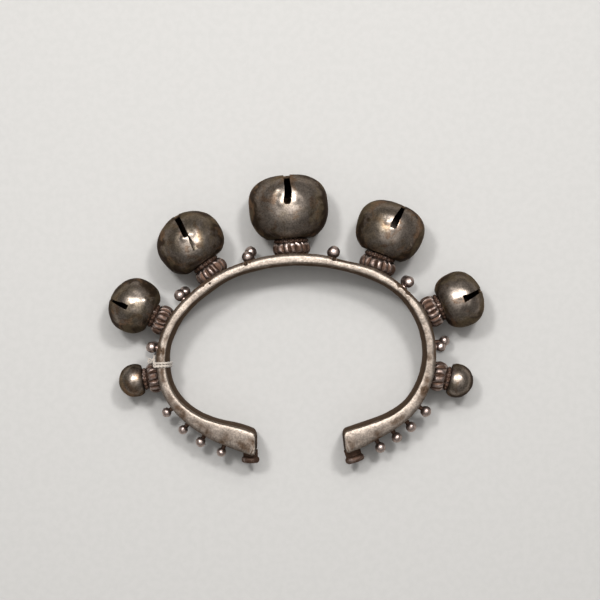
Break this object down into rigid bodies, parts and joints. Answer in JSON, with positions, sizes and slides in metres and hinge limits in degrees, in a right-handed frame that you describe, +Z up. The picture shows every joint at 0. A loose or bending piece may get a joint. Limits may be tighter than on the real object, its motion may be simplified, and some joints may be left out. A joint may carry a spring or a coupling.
{
  "type": "silver bell cuff bracelet",
  "caption": "Open oval silver cuff that carries slit bells, plain knobs and ball-headed studs on its outer side, with a thread tied round the band.",
  "frame": {"origin": "centre of the bounding box's bottom face, on the surface that the cuff lies on", "axes": "+X along the cuff's widest side-to-side extent, +Y from the open ends to the top bell, +Z up, close to the wrist axis"},
  "size_m": [0.09, 0.0693, 0.019],
  "materials": {
    "band_silver": "worn satin silver with grey-beige patina",
    "bell_silver": "tarnished silver, satin, brown in the hollows",
    "granule_silver": "tarnished silver with polished high spots",
    "thread": "twisted cotton"
  },
  "bodies": {
    "root": {"band": "band_silver", "tie_thread": "thread", "collar_top": "granule_silver", "collar_upper_left": "granule_silver", "collar_upper_right": "granule_silver", "collar_lower_left": "granule_silver", "collar_lower_right": "granule_silver", "collar_knob_left": "granule_silver", "collar_knob_right": "granule_silver", "beads_top": "granule_silver", "beads_upper_left": "granule_silver", "beads_upper_right": "granule_silver", "beads_lower_left": "granule_silver", "beads_lower_right": "granule_silver", "beads_knob_left": "granule_silver", "beads_knob_right": "granule_silver", "bell_top": "bell_silver", "bell_upper_left": "bell_silver", "bell_upper_right": "bell_silver", "bell_lower_left": "bell_silver", "bell_lower_right": "bell_silver", "knob_left": "bell_silver", "knob_right": "bell_silver", "shot_top_left_front": "granule_silver", "shot_top_left_back": "granule_silver", "shot_top_right_front": "granule_silver", "shot_top_right_back": "granule_silver", "shot_left_upper_front": "granule_silver", "shot_left_upper_back": "granule_silver", "shot_right_upper_front": "granule_silver", "shot_right_upper_back": "granule_silver", "shot_left_front": "granule_silver", "shot_left_back": "granule_silver", "shot_right_front": "granule_silver", "shot_right_back": "granule_silver", "shot_left_1": "granule_silver", "shot_left_2": "granule_silver", "shot_left_3": "granule_silver", "shot_left_4": "granule_silver", "shot_right_1": "granule_silver", "shot_right_2": "granule_silver", "shot_right_3": "granule_silver", "shot_right_4": "granule_silver", "button_left": "granule_silver", "button_right": "granule_silver"}
  },
  "joints": []
}
